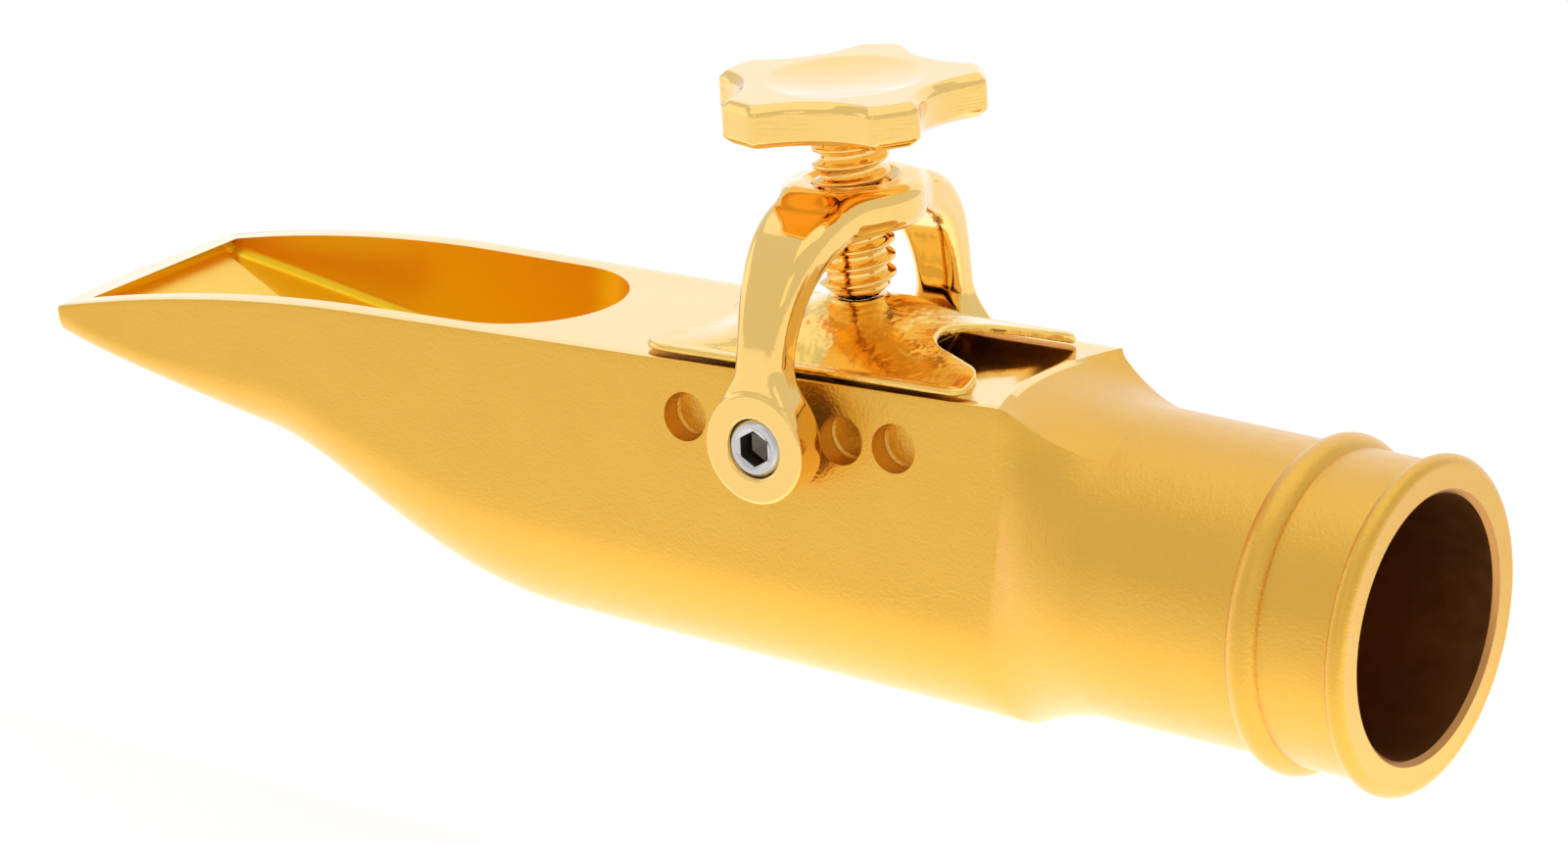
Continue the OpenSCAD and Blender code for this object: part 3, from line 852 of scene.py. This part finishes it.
def knob_field(x, y, z):
    """The lobed disc with bevelled edges, a turned dish on top and a socket for the screw below."""
    outside = knob_outline(x, y)
    level = np.abs(z - knob_base - knob_thickness / 2) - knob_thickness / 2
    bevel = (outside + level + knob_bevel) * BEVEL
    shape = smooth_max(smooth_max(outside, level, 0.12), bevel, 0.12)
    rad = np.hypot(x, y)
    ball_r = (dish_r ** 2 + dish_depth ** 2) / (2 * dish_depth)
    dish = ball_r - np.sqrt(rad ** 2 + (z - (knob_top - dish_depth + ball_r)) ** 2)
    shape = smooth_max(shape, dish, 0.04)
    socket = np.maximum(rad - tang_r, z - (knob_base + knob_seat))
    return np.maximum(shape, -socket)


def make_knob():
    """The knob; its upright sides are brushed and the rest is polished."""
    low, high = (-9.2, -9.2, knob_base - 0.4), (9.2, 9.2, knob_base + 3.4)
    knob = field_piece("knob_turned", knob_field, low, high, 0.12, polished_gold, from_screw, 35.0)
    paint(knob, brushed_gold, lambda face: abs(face.normal.z) < 0.3)
    return knob


# ---------------------------------------------------------------- pressure plate
def plate_plan(x, y):
    """Distance outside the plate's outline: a long plate with a hollow front edge and two legs behind."""
    ay = np.abs(y)
    taper = leg_taper * np.clip((x + plate_front) / (plate_rear + plate_front), 0, 1)
    side = ay - plate_half_width + taper
    body = np.maximum(rounded(side, -plate_front - x, 1.8), rounded(side, x - plate_rear, 1.1))
    front_cut = front_cut_r - np.hypot(x + plate_front - front_hollow + front_cut_r, y)
    body = smooth_max(body, front_cut, 0.9)
    # the notch: round at its bottom, then widening between the legs
    past = x - notch_floor - notch_r
    spread = (notch_mouth_r - notch_r) / (plate_rear - notch_floor)
    cosine = math.sqrt(1 - spread ** 2)
    flank = (ay - notch_r / cosine) * cosine - past * spread
    floor = np.hypot(past, y) - notch_r
    notch = -np.where(past * cosine + ay * spread < 0, floor, flank)
    return rounded(body, notch, 1.0)


def plate_top(x, y):
    """Height of the arched top above the underside: a ridge that falls from the hub, round across."""
    past_hub = smooth_max(np.abs(x - seat_x) - hub_r, 0, 0.5)
    lowest = lerp(plate_thickness, leg_ridge, ease((x - 1) / 4))
    ridge = smooth_max(hub_height - ridge_fall * past_hub, lowest, 0.5)
    return lerp(ridge, plate_thickness, np.clip(np.abs(y) / arch_half, 0, 1) ** cross_power)


def plate_field(x, y, z):
    """The arched plate with its hub, hollow beneath, and the hole for the ball nose."""
    ay = np.abs(y)
    rad = np.hypot(x - seat_x, y)
    above = z - plate_base
    fall = (hub_height - plate_thickness) * cross_power / arch_half
    steep = np.sqrt(1 + (fall * np.clip(ay / arch_half, 0, 1) ** (cross_power - 1)) ** 2)
    skin = (above - plate_top(x, y)) / steep
    plan = plate_plan(x, y)
    shape = np.maximum(rounded(plan, skin, 0.2), rounded(plan, -above, 0.1))
    hub = np.maximum(np.maximum(rad - hub_r, above - hub_height), -above)
    shape = smooth_min(shape, hub, 0.2)
    hollow = smooth_max(smooth_max(hollow_front - x, ay - hollow_half, 0.6), skin + shell, 0.2)
    shape = np.maximum(shape, -hollow)
    socket = np.maximum(rad - lip_r, hub_height - socket_depth - above)
    return np.maximum(shape, -socket)


def make_plate():
    """The plate; its underside has the satin finish and the rest is buffed."""
    low, high = (-11.8, -7.6, plate_base - 0.4), (12.8, 7.6, hub_top + 0.4)
    plate = field_piece("plate_cast", plate_field, low, high, 0.11, buffed_gold)
    paint(plate, satin_gold, lambda face: face.normal.z < -0.3)
    return plate


# ---------------------------------------------------------------- screws
LEVELS_A_PITCH = 18


def make_thread():
    """A right-hand helical thread with rounded crests; its lower end runs out into a taper."""
    n = 96
    low, high = end_z, knob_base + 0.3
    a = turns(n)
    rings = []
    for z in np.linspace(low, high, int((high - low) / thread_pitch * LEVELS_A_PITCH)):
        phase = (z / thread_pitch - a / (2 * math.pi)) % 1.0
        flank = 1 - np.clip((np.abs(phase - 0.5) * 2 - crest_share) / flank_share, 0, 1)
        tooth = ease(flank) * 0.45 + flank * 0.55
        fade = float(ease((high - z) / 0.25))
        r = screw_r - thread_depth + thread_depth * tooth * fade
        taper = end_r + (z - low) * (screw_r - end_r) / taper_length
        r = smooth_min(r, taper, 0.08)
        rings.append(np.stack([r * np.cos(a), r * np.sin(a), np.full(n, z)], 1))
    end_face = rings[0].copy()
    end_face[:, :2] *= 0.5
    rings.insert(0, end_face)
    points = from_screw(np.concatenate(rings))
    return add_mesh("clamp_thread", points, ring_faces(len(rings), n), polished_gold, 50)


def make_nose():
    """The ball nose and the neck above it, which carries the retaining ring."""
    profile = [(0.001, nose_centre - nose_r)]
    profile += [(nose_r * math.sin(a), nose_centre - nose_r * math.cos(a)) for a in np.linspace(0.1, 2.1, 18)]
    profile += [(neck_r, z) for z in np.linspace(nose_centre + 0.6, end_z + 0.3, 5)]
    points = from_screw(revolve_points(profile, 48, "z"))
    return add_mesh("ball_nose", points, ring_faces(len(profile), 48), polished_gold)


def make_set_screw(name, side):
    """A set screw with a hexagon socket and two thread grooves below its head; side is -1 or 1."""
    n = 96
    head = ear_face - set_screw_recess
    inner = ear_face - ear_thickness
    back = side_face(0) - pivot_hole_depth + nose_gap
    r = set_screw_r
    profile = [(0.001, back), (pin_r - 0.3, back), (pin_r, back + 0.3), (pin_r, inner)]
    profile += [(r - 0.02, inner + 0.05), (r - 0.02, head - 0.5)]
    profile += [(r - 0.12, head - 0.42), (r - 0.06, head - 0.34), (r - 0.16, head - 0.26)]
    profile += [(r - 0.12, head - 0.2), (r - 0.3, head), (1.30, head), (1.22, head - 0.06)]
    a = turns(n) + math.pi / n
    hexagon = (hex_af / 2) / np.cos((a + math.pi / 6) % (math.pi / 3) - math.pi / 6)
    floor = head - hex_depth
    outlines = profile + [(hexagon + 0.04, head - 0.12), (hexagon, head - 0.2), (hexagon, floor)]
    outlines += [(0.4, floor - 0.35), (0.001, floor - 0.4)]
    rings = [np.stack([o * np.cos(a), np.full(n, side * d), o * np.sin(a)], 1) for o, d in outlines]
    screw = add_mesh(name, from_pivot(np.concatenate(rings)), ring_faces(len(rings), n), bright_steel, 30)

    def in_socket(face):
        places = [from_axis(screw.data.vertices[i].co / MM) for i in face.vertices]
        return max(r for r, d in places) < hex_af / 2 + 0.2 and max(d for r, d in places) < head - 0.15

    # painted shade: the faces inside the hexagon socket take the dark steel
    paint(screw, painted_shade_socket, in_socket)
    return screw


# ---------------------------------------------------------------- build
body = make_body()
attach(body, "mouthpiece")
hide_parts("mouthpiece_body")

yoke = make_yoke()
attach(yoke, "yoke")
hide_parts("yoke")

knob = make_knob()
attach(knob, "screw")
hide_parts("thumb_knob")

plate = make_plate()
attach(plate, "plate")
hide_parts("pressure_plate")

thread = make_thread()
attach(thread, "screw")
nose = make_nose()
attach(nose, "screw")
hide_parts("clamp_screw")

for side, name in ((-1, "near"), (1, "far")):
    screw = make_set_screw(f"set_screw_{name}", side)
    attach(screw, "yoke")
    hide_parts(f"pivot_screw_{name}")

# the retaining ring is shown as the CAD made it, in steel
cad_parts["retaining_ring"].data.materials.clear()
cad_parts["retaining_ring"].data.materials.append(bright_steel)


# ---------------------------------------------------------------- stage, light and camera, in metres
floor_level = -0.01115
floor_half = 6.0
look_at = (-0.045, 0, 0)


def make_floor_material():
    """A pale floor with a painted pool of light: it glows more under the object, where it fills the object's
    shadow, and that glow also lights the belly from below.
    """
    material = bpy.data.materials.new("pale_floor")
    material.use_nodes = True
    nodes, links = material.node_tree.nodes, material.node_tree.links
    shader = nodes["Principled BSDF"]
    shader.inputs["Base Color"].default_value = (0.36, 0.36, 0.36, 1)
    shader.inputs["Roughness"].default_value = 0.9
    shader.inputs["Emission Color"].default_value = (1, 1, 1, 1)
    place = nodes.new("ShaderNodeMapping")
    place.vector_type = "TEXTURE"
    place.inputs["Location"].default_value = (-0.035, 0, floor_level)
    place.inputs["Scale"].default_value = (0.16, 0.036, 1)
    links.new(nodes.new("ShaderNodeTexCoord").outputs["Object"], place.inputs["Vector"])
    # painted pool of light: a spherical glow centred under the object, strongest where its shadow falls
    glow = nodes.new("ShaderNodeTexGradient")
    glow.gradient_type = "SPHERICAL"
    links.new(place.outputs["Vector"], glow.inputs["Vector"])
    strength = nodes.new("ShaderNodeMapRange")
    strength.inputs["To Min"].default_value = 0.66
    strength.inputs["To Max"].default_value = 1.35
    links.new(glow.outputs["Fac"], strength.inputs["Value"])
    links.new(strength.outputs["Result"], shader.inputs["Emission Strength"])
    return material


def make_floor():
    mesh = bpy.data.meshes.new("floor")
    corners = [(-1, -1), (1, -1), (1, 1), (-1, 1)]
    mesh.from_pydata([(x * floor_half, y * floor_half, floor_level) for x, y in corners], [], [(0, 1, 2, 3)])
    mesh.materials.append(make_floor_material())
    obj = bpy.data.objects.new("floor", mesh)
    bpy.context.scene.collection.objects.link(obj)
    return obj


def area_light(name, position, width, height, power):
    light = bpy.data.lights.new(name, "AREA")
    light.shape = "RECTANGLE"
    light.size, light.size_y = width, height
    light.energy = power
    obj = bpy.data.objects.new(name, light)
    obj.location = position
    obj.rotation_euler = (Vector(look_at) - Vector(position)).to_track_quat("-Z", "Y").to_euler()
    bpy.context.scene.collection.objects.link(obj)


def make_world():
    world = bpy.data.worlds.new("studio")
    world.use_nodes = True
    world.node_tree.nodes["Background"].inputs["Color"].default_value = (1, 1, 1, 1)
    world.node_tree.nodes["Background"].inputs["Strength"].default_value = 0.78
    return world


def make_camera(eye, forward, right):
    """A long lens at eye, level from left to right along right."""
    data = bpy.data.cameras.new("camera")
    data.sensor_width = 36.0
    data.lens = 188.163
    data.clip_start = 0.01
    data.clip_end = 20
    obj = bpy.data.objects.new("camera", data)
    forward = Vector(forward).normalized()
    right = Vector(right).normalized()
    up = right.cross(forward).normalized()
    rows = [(right[i], up[i], -forward[i], eye[i]) for i in range(3)]
    obj.matrix_world = Matrix((*rows, (0, 0, 0, 1)))
    bpy.context.scene.collection.objects.link(obj)
    return obj


floor = make_floor()

area_light("overhead", (-0.10, 0.10, 0.75), 1.0, 1.0, 1.0)
area_light("back_wall", (-0.35, 1.0, 0.35), 1.4, 0.9, 1.1)
area_light("left_box", (-1.0, -0.25, 0.30), 0.7, 0.6, 0.5)
area_light("front_fill", (0.4, -1.0, 0.55), 0.5, 0.5, 0.2)

scene = bpy.context.scene
scene.world = make_world()
scene.camera = make_camera(
    eye=(0.221520, -0.390808, 0.167442),
    forward=(-0.53334, 0.78033, -0.32654),
    right=(0.82559, 0.56427, 0.0))
scene.view_settings.view_transform = "Standard"

bpy.context.view_layer.update()
